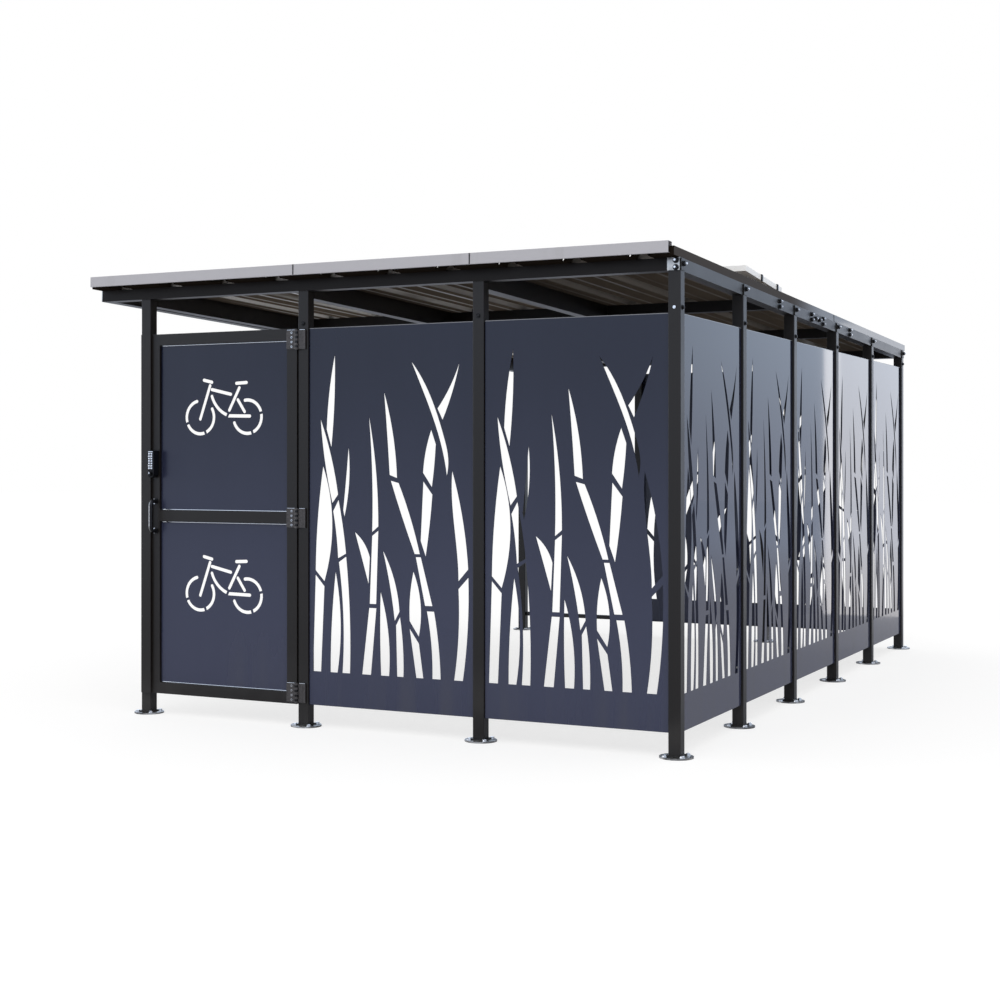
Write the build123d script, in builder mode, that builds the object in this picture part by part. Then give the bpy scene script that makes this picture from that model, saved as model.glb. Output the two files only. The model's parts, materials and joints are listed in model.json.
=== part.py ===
from build123d import *
import math
import os

os.makedirs("parts", exist_ok=True)

# Post grid: bays across the front and along the side, posts on centre lines
front_bay = 1000
side_bay = 1000
front_bays = 3
side_bays = 5
post_width = 60
post_wall = 3
post_corner = 4

# Round feet with anchor holes
foot_diameter = 160
foot_thickness = 8
anchor_circle = 120
anchor_diameter = 13
anchor_count = 4

# Folded infill sheets
panel_bottom = 115
panel_height = 1940
panel_setback = 12
panel_depth = 30
sheet_thickness = 2
fold_radius = 3
rail_size = 30
rail_wall = 2

# Roof frame: beam_top is the deck's underside at the front face of the posts
beam_top = 2308
beam_height = 60
beam_width = 60
beam_wall = 3
long_beam_height = 95
roof_fall = 125
cross_beam_shares = (1 / 3, 2 / 3)
tongue_lap = 50
splice_length = 300
splice_margin = 6
splice_thickness = 4
splice_joint = 2
end_plate = 4

# Ribbed roof deck and its edges
front_overhang = 100
back_overhang = 60
left_overhang = 270
deck_thickness = 0.75
rib_count = 10
rib_height = 39
rib_foot = 90
rib_crest = 40
lap_clearance = 1
sheet_last_ribs = (3, 6, 9)
trim_thickness = 1.5
fascia_height = 54
fascia_lift = 10
fascia_return = 50
fascia_hem = 15
fascia_joint = 2
fascia_short = 22
hem_clearance = 2

# Door leaf
door_gap = 5
leaf_proud = 5
leaf_depth = 40
stile_width = 60
rail_height = 60
frame_wall = 2
mid_rail_share = 0.495
door_sheet_setback = 15
door_sheet_depth = 20
strip_width = 62
strip_depth = 15
strip_wall = 3
strip_overlap = 10

# Bicycle stencil in the door sheets
bike_wheelbase = 300
bike_wheel_share = 0.293
bike_stroke_share = 0.057
bike_hub_share = 0.56

# Hinges
hinge_height = 98
hinge_plate_width = 40
hinge_plate = 5
knuckle_radius = 9
knuckle_count = 5
knuckle_gap = 0.6
hinge_clearance = 0.5
pin_radius = 4
pin_clearance = 0.3
plate_clearance = 1.5
hinge_inset = 58

# Code lock and pull handle
lock_width = 42
lock_height = 146
lock_depth = 45
lock_edge = 2
lock_bottom = 1165
lock_setback = 2
button_columns = 2
button_rows = 7
button_radius = 4
button_rise = 3
button_pitch = 13
button_spread = 15
button_top_margin = 17
knob_radius = 12
knob_rise = 16
knob_edge = 2
knob_gap = 0.5
spindle_radius = 5
spindle_length = 12
spindle_clearance = 0.3
handle_bottom = 861
handle_height = 194
handle_reach = 54
handle_diameter = 22
handle_bend = 24
handle_rose = 34
handle_rose_thickness = 4

# Solar panel on the roof
solar_length = 720
solar_width = 500
solar_thickness = 30
solar_lip = 12
solar_recess = 3
solar_start = 1390
solar_edge = 100
solar_stand = 3
solar_bar = 15
solar_low = 43
solar_high = 80

# Places of the post rows, with the origin under the middle of the whole outline
front_width = front_bays * front_bay
side_length = side_bays * side_bay
fall_angle = math.atan2(roof_fall, side_length)
deck_top = rib_height + 2 * deck_thickness + trim_thickness
left_reach = post_width / 2 + left_overhang
right_reach = max(foot_diameter / 2, post_width / 2)
front_reach = post_width / 2 + front_overhang
back_reach = post_width / 2 + back_overhang * math.cos(fall_angle) + deck_top * math.sin(fall_angle)
right_x = (front_width + left_reach - right_reach) / 2
left_x = right_x - front_width
front_y = (front_reach - side_length - back_reach) / 2
back_y = front_y + side_length
front_face = front_y - post_width / 2
right_face = right_x + post_width / 2
back_face = back_y + post_width / 2
bay_clear = front_bay - post_width
side_clear = side_bay - post_width

# Roof frame of reference: across, down the slope from the front face, and up from the deck's underside
slope = (0, math.cos(fall_angle), -math.sin(fall_angle))
roof_normal = (0, math.sin(fall_angle), math.cos(fall_angle))
roof_plane = Plane((0, front_face, beam_top), x_dir=(1, 0, 0), z_dir=roof_normal)
roof_length = (side_length + post_width) / math.cos(fall_angle)
roof_left = left_x - left_reach
roof_right = right_face - post_wall
beam_inner = roof_right - beam_width


def roof_z(y, rise):
    return beam_top - (y - front_face) * math.tan(fall_angle) + rise / math.cos(fall_angle)


def slope_point(along, rise):
    y = front_face + along * math.cos(fall_angle) + rise * math.sin(fall_angle)
    return (y, roof_z(y, rise))


def slope_plane(across, along, rise):
    corner = roof_plane.from_local_coords((across, along, rise))
    return Plane(corner, x_dir=(1, 0, 0), z_dir=roof_normal)


def section_plane(along):
    middle = roof_plane.from_local_coords((0, along, 0))
    return Plane(middle, x_dir=(1, 0, 0), z_dir=(0, -slope[1], -slope[2]))


def save(part, name):
    part.label = name
    export_step(part, f"parts/{name}.step")


def grid_x(index):
    return left_x + index * front_bay


def grid_y(index):
    return front_y + index * side_bay


# Posts: square tubes cut to the slope under the beams, the right row with a tongue lapping the beam
def post(x, y, tongue):
    with BuildPart() as tube:
        with BuildSketch(Plane((x, y, foot_thickness))):
            RectangleRounded(post_width, post_width, post_corner)
            Rectangle(post_width - 2 * post_wall, post_width - 2 * post_wall, mode=Mode.SUBTRACT)
        extrude(amount=beam_top)
        split(bisect_by=roof_plane.offset(-beam_height), keep=Keep.BOTTOM)
        if tongue:
            tongue_root = roof_z(y + post_width, -beam_height)
            tongue_top = roof_z(y, -beam_height) + tongue_lap
            with BuildSketch(Plane((x + post_width / 2, y, tongue_root))):
                Rectangle(post_wall, post_width - 2 * post_corner, align=(Align.MAX, Align.CENTER))
            extrude(amount=tongue_top - tongue_root)
    return tube.part


front_posts = ("front_left_post", "hinge_post", "front_middle_post", "front_right_post")
back_posts = ("back_left_post", "back_post_left", "back_post_right", "back_right_post")
post_places = []
for index, name in enumerate(front_posts):
    post_places.append((name, grid_x(index), front_y, index == front_bays))
for index in range(1, side_bays):
    post_places.append((f"right_post_{index}", right_x, grid_y(index), True))
for index, name in enumerate(back_posts):
    post_places.append((name, grid_x(index), back_y, index == front_bays))
for name, x, y, tongue in post_places:
    save(post(x, y, tongue), name)

# Round foot under every post, with anchor holes outside the tube
with BuildPart() as feet:
    foot_places = [(x, y) for name, x, y, tongue in post_places]
    with BuildSketch():
        with Locations(*foot_places):
            Circle(foot_diameter / 2)
        for place in foot_places:
            with Locations(place):
                with PolarLocations(anchor_circle / 2, anchor_count, start_angle=45):
                    Circle(anchor_diameter / 2, mode=Mode.SUBTRACT)
    extrude(amount=foot_thickness)
save(feet.part, "foot_plates")

# Reed pattern: each opening is a left edge read upwards and a right edge read downwards,
# as shares of the sheet's width and height
reed_shares = (
    (((0.110, 0.730), (0.140, 0.873), (0.162, 0.928)), ((0.162, 0.928), (0.163, 0.872), (0.140, 0.683))),
    (((0.146, 0.536), (0.108, 0.620), (0.072, 0.758)), ((0.072, 0.758), (0.127, 0.680), (0.182, 0.559))),
    (((0.182, 0.391), (0.171, 0.453), (0.151, 0.515)), ((0.185, 0.545), (0.214, 0.470), (0.232, 0.404))),
    (((0.210, 0.090), (0.215, 0.237), (0.187, 0.381)), ((0.233, 0.396), (0.257, 0.231), (0.257, 0.090))),
    (((0.214, 0.518), (0.240, 0.640), (0.248, 0.684)), ((0.248, 0.684), (0.254, 0.640), (0.222, 0.500))),
    (((0.040, 0.358), (0.056, 0.508), (0.088, 0.634)), ((0.088, 0.634), (0.127, 0.568), (0.096, 0.329))),
    (((0.024, 0.090), (0.040, 0.346)), ((0.096, 0.316), (0.075, 0.090))),
    (((0.135, 0.090), (0.148, 0.263), (0.167, 0.356)), ((0.167, 0.356), (0.192, 0.278), (0.179, 0.090))),
    (((0.394, 0.462), (0.391, 0.648), (0.374, 0.766)), ((0.374, 0.766), (0.421, 0.607), (0.432, 0.477))),
    (((0.379, 0.275), (0.394, 0.452)), ((0.432, 0.466), (0.419, 0.275))),
    (((0.333, 0.090), (0.376, 0.264)), ((0.420, 0.264), (0.387, 0.090))),
    (((0.372, 0.326), (0.327, 0.399), (0.288, 0.461)), ((0.288, 0.461), (0.338, 0.437), (0.380, 0.396))),
    (((0.501, 0.611), (0.486, 0.717), (0.467, 0.827)), ((0.467, 0.827), (0.505, 0.758), (0.546, 0.603))),
    (((0.652, 0.408), (0.570, 0.511), (0.508, 0.596)), ((0.556, 0.590), (0.625, 0.504), (0.683, 0.408))),
    (((0.714, 0.276), (0.659, 0.400)), ((0.689, 0.400), (0.758, 0.276))),
    (((0.758, 0.090), (0.751, 0.180), (0.725, 0.262)), ((0.768, 0.262), (0.795, 0.175), (0.807, 0.090))),
    (((0.532, 0.233), (0.505, 0.318), (0.460, 0.415)), ((0.460, 0.415), (0.525, 0.346), (0.561, 0.258))),
    (((0.547, 0.090), (0.540, 0.222)), ((0.564, 0.244), (0.580, 0.183), (0.585, 0.090))),
    (((0.449, 0.090), (0.443, 0.221), (0.446, 0.308)), ((0.446, 0.308), (0.483, 0.236), (0.498, 0.090))),
    (((0.843, 0.609), (0.758, 0.762), (0.662, 0.871), (0.633, 0.903)),
     ((0.633, 0.903), (0.680, 0.872), (0.827, 0.707), (0.850, 0.661), (0.843, 0.609))),
    (((0.788, 0.781), (0.897, 0.872), (0.918, 0.898)), ((0.918, 0.898), (0.868, 0.812), (0.818, 0.752))),
    (((0.702, 0.617), (0.722, 0.681), (0.751, 0.727)), ((0.778, 0.690), (0.769, 0.634), (0.755, 0.580))),
    (((0.688, 0.442), (0.704, 0.595)), ((0.758, 0.561), (0.744, 0.492), (0.718, 0.402))),
    (((0.911, 0.342), (0.885, 0.486), (0.871, 0.580), (0.875, 0.622)),
     ((0.875, 0.622), (0.925, 0.527), (0.968, 0.373))),
    (((0.886, 0.090), (0.914, 0.245), (0.911, 0.322)), ((0.969, 0.352), (0.968, 0.246), (0.937, 0.090))),
    (((0.622, 0.235), (0.622, 0.286), (0.645, 0.363)), ((0.645, 0.363), (0.688, 0.281), (0.677, 0.196))),
    (((0.662, 0.090), (0.622, 0.216)), ((0.678, 0.178), (0.704, 0.090))),
)


def blade_edge(points):
    if len(points) > 2:
        Spline(*points)
    else:
        Line(*points)


def reed_openings(width):
    with BuildSketch() as openings:
        for left_shares, right_shares in reed_shares:
            left_edge = [(width * u, panel_height * v) for u, v in left_shares]
            right_edge = [(width * u, panel_height * v) for u, v in right_shares]
            with BuildLine():
                blade_edge(left_edge)
                if left_edge[-1] != right_edge[0]:
                    Line(left_edge[-1], right_edge[0])
                blade_edge(right_edge)
                if right_edge[-1] != left_edge[0]:
                    Line(right_edge[-1], left_edge[0])
            make_face()
    return openings.sketch


# Folded tray: a cut-out face with rounded folds and returns on four sides
def tray(corner_plane, width, height, depth, openings):
    corner = (Align.MIN, Align.MIN)
    inner_width = width - 2 * sheet_thickness
    inner_height = height - 2 * sheet_thickness
    with BuildPart() as sheet:
        with BuildSketch(corner_plane):
            Rectangle(width, height, align=corner)
            add(openings, mode=Mode.SUBTRACT)
        extrude(amount=-sheet_thickness)
        with BuildSketch(corner_plane.offset(-sheet_thickness)):
            Rectangle(width, height, align=corner)
            with Locations((sheet_thickness, sheet_thickness)):
                Rectangle(inner_width, inner_height, align=corner, mode=Mode.SUBTRACT)
        extrude(amount=sheet_thickness - depth)
        outside = Axis(corner_plane.origin, corner_plane.z_dir)
        fillet(sheet.faces().sort_by(outside)[-1].outer_wire().edges(), fold_radius)
    return sheet.part


front_openings = reed_openings(bay_clear)
side_openings = reed_openings(side_clear)
for index in range(1, front_bays):
    corner = (grid_x(index) + post_width / 2, front_face + panel_setback, panel_bottom)
    plane = Plane(corner, x_dir=(1, 0, 0), z_dir=(0, -1, 0))
    save(tray(plane, bay_clear, panel_height, panel_depth, front_openings), f"front_panel_{index}")
for index in range(side_bays):
    corner = (right_face - panel_setback, grid_y(index) + post_width / 2, panel_bottom)
    plane = Plane(corner, x_dir=(0, 1, 0), z_dir=(1, 0, 0))
    save(tray(plane, side_clear, panel_height, panel_depth, side_openings), f"right_panel_{index + 1}")
for index in range(1, front_bays):
    corner = (grid_x(index + 1) - post_width / 2, back_face - panel_setback, panel_bottom)
    plane = Plane(corner, x_dir=(-1, 0, 0), z_dir=(0, 1, 0))
    save(tray(plane, bay_clear, panel_height, panel_depth, front_openings), f"back_panel_{index}")

# Low rail across the back bay that has no sheet
with BuildPart() as back_rail:
    rail_start = (grid_x(0) + post_width / 2, back_face - panel_setback, panel_bottom)
    with BuildSketch(Plane(rail_start, x_dir=(0, 1, 0), z_dir=(1, 0, 0))):
        Rectangle(rail_size, rail_size, align=(Align.MAX, Align.MIN))
        with Locations((-rail_wall, rail_wall)):
            Rectangle(rail_size - 2 * rail_wall, rail_size - 2 * rail_wall,
                      align=(Align.MAX, Align.MIN), mode=Mode.SUBTRACT)
    extrude(amount=bay_clear)
save(back_rail.part, "back_rail")


# Roof beams: tubes square to the slope
def beam_section():
    Rectangle(beam_width, beam_height, align=(Align.MIN, Align.MAX))
    with Locations((beam_wall, -beam_wall)):
        Rectangle(beam_width - 2 * beam_wall, beam_height - 2 * beam_wall,
                  align=(Align.MIN, Align.MAX), mode=Mode.SUBTRACT)


def across_beam(along, spans):
    with BuildPart() as beam:
        for start, end in spans:
            corner = roof_plane.from_local_coords((start, along, 0))
            with BuildSketch(Plane(corner, x_dir=slope, z_dir=(1, 0, 0))):
                beam_section()
            extrude(amount=end - start)
    return beam.part


def edge_beam(outside, inward, start, end):
    corner = roof_plane.from_local_coords((outside, end, 0))
    uphill = (0, -inward * slope[1], -inward * slope[2])
    with BuildPart() as beam:
        with BuildSketch(Plane(corner, x_dir=(inward, 0, 0), z_dir=uphill)):
            beam_section()
        extrude(amount=inward * (end - start))
    return beam.part


back_along = roof_length - beam_width
cross_alongs = [share * back_along for share in cross_beam_shares]
full_span = [(roof_left + end_plate, beam_inner)]
long_centres = [grid_x(index) for index in range(front_bays)]
span_starts = [roof_left + beam_width] + [x + beam_width / 2 for x in long_centres]
span_ends = [x - beam_width / 2 for x in long_centres] + [beam_inner]
save(across_beam(0, full_span), "front_beam")
for index, along in enumerate(cross_alongs):
    save(across_beam(along, list(zip(span_starts, span_ends))), f"cross_beam_{index + 1}")
save(across_beam(back_along, full_span), "back_beam")
save(edge_beam(roof_right, -1, 0, (roof_length - splice_joint) / 2), "right_beam_front")
save(edge_beam(roof_right, -1, (roof_length + splice_joint) / 2, roof_length), "right_beam_back")
save(edge_beam(roof_left, 1, beam_width, back_along), "eaves_beam")

# Long beams down the slope from the left front posts, front ends cut plumb against the posts
long_start = front_y + post_width / 2


def long_corners(top_rise, bottom_rise):
    return [(long_start, roof_z(long_start, top_rise)), slope_point(back_along, top_rise),
            slope_point(back_along, bottom_rise), (long_start, roof_z(long_start, bottom_rise))]


def long_beam(x):
    side = Plane((x, 0, 0), x_dir=(0, 1, 0), z_dir=(1, 0, 0))
    with BuildPart() as beam:
        with BuildSketch(side):
            with BuildLine():
                Polyline(*long_corners(0, -long_beam_height), close=True)
            make_face()
        extrude(amount=beam_width / 2, both=True)
        with BuildSketch(side):
            with BuildLine():
                Polyline(*long_corners(-beam_wall, beam_wall - long_beam_height), close=True)
            make_face()
        extrude(amount=beam_width / 2 - beam_wall, both=True, mode=Mode.SUBTRACT)
    return beam.part


save(long_beam(long_centres[0]), "left_beam")
inner_tubes = [long_beam(x) for x in long_centres[1:]]
with BuildPart() as inner_beams:
    add(inner_tubes)
save(inner_beams.part, "inner_beams")

# Splice plate inside the right beam's joint and plates over the open beam ends
with BuildPart() as splice:
    with BuildSketch(slope_plane(beam_inner, roof_length / 2, -splice_margin)):
        Rectangle(splice_thickness, splice_length, align=(Align.MAX, Align.CENTER))
    extrude(amount=2 * splice_margin - beam_height)
save(splice.part, "beam_splice")

with BuildPart() as end_plates:
    for along in (0, back_along):
        with BuildSketch(slope_plane(roof_left, along, -beam_height)):
            Rectangle(end_plate, beam_width, align=(Align.MIN, Align.MIN))
        extrude(amount=beam_height)
    for along in (-end_plate, roof_length):
        with BuildSketch(slope_plane(beam_inner, along, -beam_height)):
            Rectangle(beam_width, end_plate, align=(Align.MIN, Align.MIN))
        extrude(amount=beam_height)
save(end_plates.part, "beam_end_plates")

# Roof deck: trapezoidal sheets with ribs down the slope, each lapping its neighbour's last rib
deck_left = roof_left + trim_thickness
deck_right = roof_right - trim_thickness
rib_pitch = (deck_right - deck_left) / rib_count
deck_start = fascia_hem + hem_clearance - front_overhang
deck_end = roof_length + back_overhang


def rib_centre(index):
    return deck_left + (index + 1 / 2) * rib_pitch


def deck_line(first_rib, last_rib):
    line = [(deck_left, 0)]
    if first_rib > 0:
        lapped = rib_centre(first_rib - 1)
        line = [(lapped - rib_crest / 2, rib_height + deck_thickness),
                (lapped + rib_crest / 2 + lap_clearance, rib_height + deck_thickness),
                (lapped + rib_foot / 2 + lap_clearance, 0)]
    for index in range(first_rib, last_rib + 1):
        centre = rib_centre(index)
        line += [(centre - rib_foot / 2, 0), (centre - rib_crest / 2, rib_height)]
        line += [(centre + rib_crest / 2, rib_height), (centre + rib_foot / 2, 0)]
    if last_rib < rib_count - 1:
        return line[:-1]
    return line + [(deck_right, 0)]


first_rib = 0
for number, last_rib in enumerate(sheet_last_ribs):
    under = deck_line(first_rib, last_rib)
    over = [(x, rise + deck_thickness) for x, rise in reversed(under)]
    with BuildPart() as deck:
        with BuildSketch(section_plane(deck_end)):
            with BuildLine():
                Polyline(*under, *over, close=True)
            make_face()
        extrude(amount=deck_end - deck_start)
    save(deck.part, f"roof_sheet_{number + 1}")
    first_rib = last_rib + 1


# Edge trims: an upright over the sheet's side edge and a leg out to the middle of the first crest
def edge_trim(edge, crest, name):
    inward = math.copysign(trim_thickness, crest - edge)
    crest_top = rib_height + deck_thickness
    outline = [(edge, 0), (edge, crest_top + trim_thickness), (crest, crest_top + trim_thickness),
               (crest, crest_top), (edge + inward, crest_top), (edge + inward, 0)]
    with BuildPart() as trim:
        with BuildSketch(section_plane(deck_end)):
            with BuildLine():
                Polyline(*outline, close=True)
            make_face()
        extrude(amount=deck_end - deck_start)
    save(trim.part, name)


edge_trim(roof_left, rib_centre(0), "left_roof_trim")
edge_trim(roof_right, rib_centre(rib_count - 1), "right_roof_trim")

# Front fascia in three lengths: hem, face, top return and a lip behind
fascia_top = fascia_lift + fascia_height
lip_bottom = rib_height + deck_thickness + trim_thickness
under_return = fascia_top - trim_thickness
over_hem = fascia_lift + trim_thickness
lip_front = fascia_return - trim_thickness
fascia_outline = [(0, fascia_lift), (0, fascia_top), (fascia_return, fascia_top),
                  (fascia_return, lip_bottom), (lip_front, lip_bottom), (lip_front, under_return),
                  (trim_thickness, under_return), (trim_thickness, over_hem),
                  (fascia_hem, over_hem), (fascia_hem, fascia_lift)]
fascia_right = roof_right - fascia_short
fascia_ends = [roof_left] + [grid_x(index) for index in range(1, front_bays)] + [fascia_right]
with BuildPart() as fascia:
    for start, end in zip(fascia_ends, fascia_ends[1:]):
        seam = fascia_joint / 2
        length_start = start if start == roof_left else start + seam
        length_end = end if end == fascia_right else end - seam
        corner = roof_plane.from_local_coords((length_start, -front_overhang, 0))
        with BuildSketch(Plane(corner, x_dir=slope, z_dir=(1, 0, 0))):
            with BuildLine():
                Polyline(*fascia_outline, close=True)
            make_face()
        extrude(amount=length_end - length_start)
save(fascia.part, "front_fascia")

# Door leaf: two stiles, three rails and two stencilled sheets, standing proud of the posts
leaf_left = left_x + post_width / 2 + door_gap
leaf_right = grid_x(1) - post_width / 2 - door_gap
leaf_front = front_face - leaf_proud
leaf_top = panel_bottom + panel_height
with BuildPart() as stiles:
    with BuildSketch(Plane((0, leaf_front, panel_bottom))):
        for left in (leaf_left, leaf_right - stile_width):
            with Locations((left, 0)):
                Rectangle(stile_width, leaf_depth, align=(Align.MIN, Align.MIN))
            with Locations((left + frame_wall, frame_wall)):
                Rectangle(stile_width - 2 * frame_wall, leaf_depth - 2 * frame_wall,
                          align=(Align.MIN, Align.MIN), mode=Mode.SUBTRACT)
    extrude(amount=panel_height)
save(stiles.part, "door_stiles")

mid_rail_centre = panel_height * mid_rail_share
inner_left = leaf_left + stile_width
inner_width = leaf_right - leaf_left - 2 * stile_width
rail_bottoms = (panel_bottom, panel_bottom + mid_rail_centre - rail_height / 2, leaf_top - rail_height)
with BuildPart() as rails:
    with BuildSketch(Plane((inner_left, leaf_front, 0), x_dir=(0, 1, 0), z_dir=(1, 0, 0))):
        for bottom in rail_bottoms:
            with Locations((0, bottom)):
                Rectangle(leaf_depth, rail_height, align=(Align.MIN, Align.MIN))
            with Locations((frame_wall, bottom + frame_wall)):
                Rectangle(leaf_depth - 2 * frame_wall, rail_height - 2 * frame_wall,
                          align=(Align.MIN, Align.MIN), mode=Mode.SUBTRACT)
    extrude(amount=inner_width)
save(rails.part, "door_rails")

# Bicycle stencil as shares of the wheelbase about the point midway between the hubs
bike_stroke = bike_wheelbase * bike_stroke_share
bike_wheel_radius = bike_wheelbase * bike_wheel_share
bar_shares = (
    ((-0.42, 0.66), (-0.25, 0.62)),
    ((-0.29, 0.56), (-0.50, -0.03)),
    ((-0.25, 0.49), (0.15, 0.40)),
    ((0.27, 0.59), (0.48, 0.60)),
    ((0.33, 0.51), (0.12, 0.12)),
    ((0.30, 0.30), (0.44, 0.09)),
    ((0.10, 0.02), (0.55, 0.01)),
)
down_tube_shares = ((-0.25, 0.37), (-0.13, 0.17), (0.06, 0.04))
front_rim_angles = ((104, 93), (209, 79), (297, 93))
rear_rim_angles = ((19, 81), (-63, 70), (201, 87))


def bike_stencil(centre, hub_height):
    def place(shares):
        return (centre + bike_wheelbase * shares[0], hub_height + bike_wheelbase * shares[1])

    with BuildSketch() as stencil:
        for start_shares, end_shares in bar_shares:
            start = Vector(place(start_shares))
            end = Vector(place(end_shares))
            SlotCenterPoint((start + end) / 2, end, bike_stroke)
        with BuildLine(mode=Mode.PRIVATE) as tube:
            ThreePointArc(*[place(shares) for shares in down_tube_shares])
        SlotArc(tube.edge(), bike_stroke)
        for hub_shares, rim_angles in (((-0.5, 0), front_rim_angles), ((0.5, 0), rear_rim_angles)):
            for start_angle, sweep in rim_angles:
                with BuildLine(mode=Mode.PRIVATE) as rim:
                    CenterArc(place(hub_shares), bike_wheel_radius, start_angle, sweep)
                SlotArc(rim.edge(), bike_stroke)
    return stencil.sketch


sheet_bottoms = [bottom + rail_height for bottom in rail_bottoms[:-1]]
sheet_tops = rail_bottoms[1:]
for name, bottom, top in zip(("door_sheet_lower", "door_sheet_upper"), sheet_bottoms, sheet_tops):
    plane = Plane((inner_left, leaf_front + door_sheet_setback, bottom), x_dir=(1, 0, 0), z_dir=(0, -1, 0))
    stencil = bike_stencil(inner_width / 2, bike_hub_share * (top - bottom))
    save(tray(plane, inner_width, top - bottom, door_sheet_depth, stencil), name)

# Cover strip: a channel on the lock stile that laps the post
strip_right = leaf_left + strip_overlap
with BuildPart() as strip:
    with BuildSketch(Plane((strip_right, leaf_front, panel_bottom))):
        Rectangle(strip_width, strip_depth, align=(Align.MAX, Align.MAX))
        with Locations((-strip_wall, 0)):
            Rectangle(strip_width - 2 * strip_wall, strip_depth - strip_wall,
                      align=(Align.MAX, Align.MAX), mode=Mode.SUBTRACT)
    extrude(amount=panel_height)
save(strip.part, "door_cover_strip")

# Butt hinges: plates on the leaf and on the post, alternating knuckles, pins fixed to the post side
hinge_x = leaf_right + door_gap / 2
hinge_y = leaf_front - hinge_clearance - knuckle_radius
knuckle_pitch = hinge_height / knuckle_count
hinge_bottoms = (panel_bottom + hinge_inset - hinge_height / 2,
                 panel_bottom + mid_rail_centre - hinge_height / 2,
                 leaf_top - hinge_inset - hinge_height / 2)
plate_edge = knuckle_radius + plate_clearance


def hinge_leaf(bottom, side, back, parity):
    plate_align = Align.MIN if side > 0 else Align.MAX
    plate_depth = back - leaf_front + hinge_plate
    with BuildPart() as leaf:
        with BuildSketch(Plane((hinge_x + side * plate_edge, back, bottom))):
            Rectangle(hinge_plate_width, plate_depth, align=(plate_align, Align.MAX))
        extrude(amount=hinge_height)
        for index in range(parity, knuckle_count, 2):
            level = bottom + index * knuckle_pitch + knuckle_gap / 2
            with BuildSketch(Plane((hinge_x, hinge_y, level))):
                Circle(knuckle_radius)
                with Locations((0, leaf_front - hinge_plate - hinge_y)):
                    Rectangle(plate_edge, hinge_plate - hinge_clearance, align=(plate_align, Align.MIN))
            extrude(amount=knuckle_pitch - knuckle_gap)
        if side > 0:
            with BuildSketch(Plane((hinge_x, hinge_y, bottom + knuckle_gap))):
                Circle(pin_radius)
            extrude(amount=hinge_height - 2 * knuckle_gap)
        else:
            with BuildSketch(Plane((hinge_x, hinge_y, bottom))):
                Circle(pin_radius + pin_clearance)
            extrude(amount=hinge_height, mode=Mode.SUBTRACT)
    return leaf.part


door_leaves = [hinge_leaf(bottom, -1, leaf_front, 1) for bottom in hinge_bottoms]
post_leaves = [hinge_leaf(bottom, 1, front_face, 0) for bottom in hinge_bottoms]
with BuildPart() as door_hinges:
    add(door_leaves)
save(door_hinges.part, "door_hinge_leaves")
with BuildPart() as post_hinges:
    add(post_leaves)
save(post_hinges.part, "post_hinge_leaves")

# Code lock: a black case with a round lower end, two rows of keys and a turning knob
lock_centre = strip_right + lock_setback + lock_width / 2
lock_base = panel_bottom + lock_bottom
lock_round_centre = lock_base + lock_width / 2
lock_front = leaf_front - lock_depth
with BuildPart() as lock:
    with BuildSketch(Plane((lock_centre, leaf_front, 0), x_dir=(1, 0, 0), z_dir=(0, -1, 0))):
        with Locations((0, lock_round_centre)):
            Circle(lock_width / 2)
            Rectangle(lock_width, lock_height - lock_width / 2, align=(Align.CENTER, Align.MIN))
    extrude(amount=lock_depth)
    fillet(lock.faces().sort_by(Axis.Y)[0].outer_wire().edges(), lock_edge)
    with BuildSketch(Plane((lock_centre, lock_front, lock_round_centre), x_dir=(1, 0, 0), z_dir=(0, -1, 0))):
        Circle(spindle_radius + spindle_clearance)
    extrude(amount=-spindle_length - knob_gap, mode=Mode.SUBTRACT)
save(lock.part, "code_lock")

with BuildPart() as buttons:
    keys_middle = lock_base + lock_height - button_top_margin - (button_rows - 1) * button_pitch / 2
    with BuildSketch(Plane((lock_centre, lock_front, keys_middle), x_dir=(1, 0, 0), z_dir=(0, -1, 0))):
        with GridLocations(button_spread, button_pitch, button_columns, button_rows):
            Circle(button_radius)
    extrude(amount=button_rise)
save(buttons.part, "lock_buttons")

with BuildPart() as knob:
    knob_back = (lock_centre, lock_front - knob_gap, lock_round_centre)
    knob_plane = Plane(knob_back, x_dir=(1, 0, 0), z_dir=(0, -1, 0))
    with BuildSketch(knob_plane):
        Circle(knob_radius)
    extrude(amount=knob_rise)
    chamfer(knob.faces().sort_by(Axis.Y)[0].outer_wire().edges(), knob_edge)
    with BuildSketch(knob_plane):
        Circle(spindle_radius)
    extrude(amount=-spindle_length)
save(knob.part, "lock_knob")

# Pull handle: a bent round bar on two roses
bar_low = panel_bottom + handle_bottom + handle_rose / 2
bar_high = panel_bottom + handle_bottom + handle_height - handle_rose / 2
bar_out = leaf_front - handle_reach + handle_diameter / 2
with BuildPart() as handle:
    bar_route = [(leaf_front, bar_low), (bar_out, bar_low), (bar_out, bar_high), (leaf_front, bar_high)]
    with BuildLine(Plane((lock_centre, 0, 0), x_dir=(0, 1, 0), z_dir=(1, 0, 0))):
        FilletPolyline(*bar_route, radius=handle_bend)
    with BuildSketch(Plane((lock_centre, leaf_front, bar_low), x_dir=(1, 0, 0), z_dir=(0, -1, 0))):
        Circle(handle_diameter / 2)
    sweep()
    for level in (bar_low, bar_high):
        with BuildSketch(Plane((lock_centre, leaf_front, level), x_dir=(1, 0, 0), z_dir=(0, -1, 0))):
            Circle(handle_rose / 2)
        extrude(amount=handle_rose_thickness)
save(handle.part, "pull_handle")

# Solar panel: a framed slab tilted on two open flat-bar stands that sit on rib crests
solar_right = roof_right - solar_edge
solar_middle = solar_right - solar_width / 2
solar_tilt = math.atan2(solar_high - solar_low, solar_length)
stand_run = solar_length * math.cos(solar_tilt)
stand_foot = rib_height + deck_thickness
stand_end = solar_start + stand_run


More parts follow.
